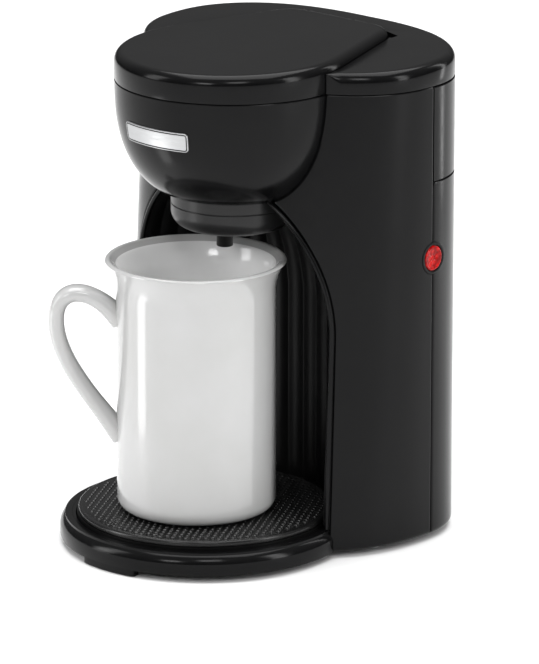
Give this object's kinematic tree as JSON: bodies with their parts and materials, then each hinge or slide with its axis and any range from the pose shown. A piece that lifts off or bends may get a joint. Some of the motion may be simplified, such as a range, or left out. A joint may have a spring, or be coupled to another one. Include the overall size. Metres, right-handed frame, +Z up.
{
  "type": "drip coffee maker",
  "caption": "Compact single-cup drip coffee maker with an oval tower, round cup bay, hinged lid over a bowl-shaped brew head, drip base, power button and a tall mug.",
  "frame": {"origin": "on the table, under the middle of the body (half way between the front of the base and the back of the tower)", "axes": "+Z up, -Y towards the front where the mug stands, +X the machine's right-hand side with the power button"},
  "size_m": [0.1537, 0.176, 0.2203],
  "materials": {
    "black_gloss": "glossy moulded plastic",
    "black_satin": "satin moulded plastic",
    "grey_plastic": "fine satin moulded plastic",
    "clear_grey": "smooth heat-resistant plastic",
    "silicone": "milky silicone",
    "black_rubber": "moulded rubber",
    "red_plastic": "translucent red plastic",
    "badge_metal": "brushed and lacquered",
    "heater_aluminium": "cast",
    "steel": "plated",
    "mesh_steel": "fine woven mesh",
    "cream_plastic": "moulded",
    "wire_jacket": "insulation",
    "white_glaze": "glossy glaze"
  },
  "bodies": {
    "machine": {"front_housing": "black_gloss", "rear_cover": "black_gloss", "water_tank": "black_gloss", "tank_outlet": "clear_grey", "top_cap": "black_gloss", "lid_hinge_pin": "steel", "bay_liner": "black_satin", "head_bowl": "black_gloss", "brew_basket": "grey_plastic", "filter_frame": "black_satin", "filter_mesh": "mesh_steel", "drip_cone": "grey_plastic", "drip_nozzle": "grey_plastic", "badge": "badge_metal", "base_ring": "black_gloss", "drip_tray": "black_satin", "drip_grille": "black_gloss", "bottom_plate": "black_satin", "bottom_screws": "steel", "front_foot": "black_gloss", "rubber_feet": "black_rubber", "button_bezel": "black_satin", "power_switch": "black_satin", "heater_block": "heater_aluminium", "heater_tube": "heater_aluminium", "heater_element": "steel", "heater_bracket": "steel", "heater_screws": "steel", "thermostat": "cream_plastic", "thermal_fuse": "cream_plastic", "check_valve": "clear_grey", "inlet_hose": "silicone", "valve_hose": "silicone", "riser_hose": "silicone", "spout_arm": "clear_grey", "shower_head": "clear_grey", "terminal_block": "cream_plastic", "cord_bushing": "black_rubber", "wiring": "wire_jacket"},
    "lid": {"lid": "black_gloss"},
    "button": {"power_button": "red_plastic"},
    "ball": {"valve_ball": "steel"},
    "mug": {"mug": "white_glaze"}
  },
  "joints": [
    {"name": "lid_hinge", "type": "hinge", "parent": "machine", "child": "lid", "pos_m": [0, 0.0635, 0.2158], "axis": [-1, 0, 0], "range_deg": [0, 90]},
    {"name": "button_press", "type": "slide", "parent": "machine", "child": "button", "axis": [-1, 0, 0], "range_m": [0, 0.0015], "stiffness_N_per_m": 800},
    {"name": "ball_lift", "type": "slide", "parent": "machine", "child": "ball", "axis": [0, 0, 1], "range_m": [0, 0.003]},
    {"name": "mug_slide", "type": "slide", "parent": "machine", "child": "mug", "axis": [0, -1, 0], "range_m": [0, 0.15]}
  ]
}
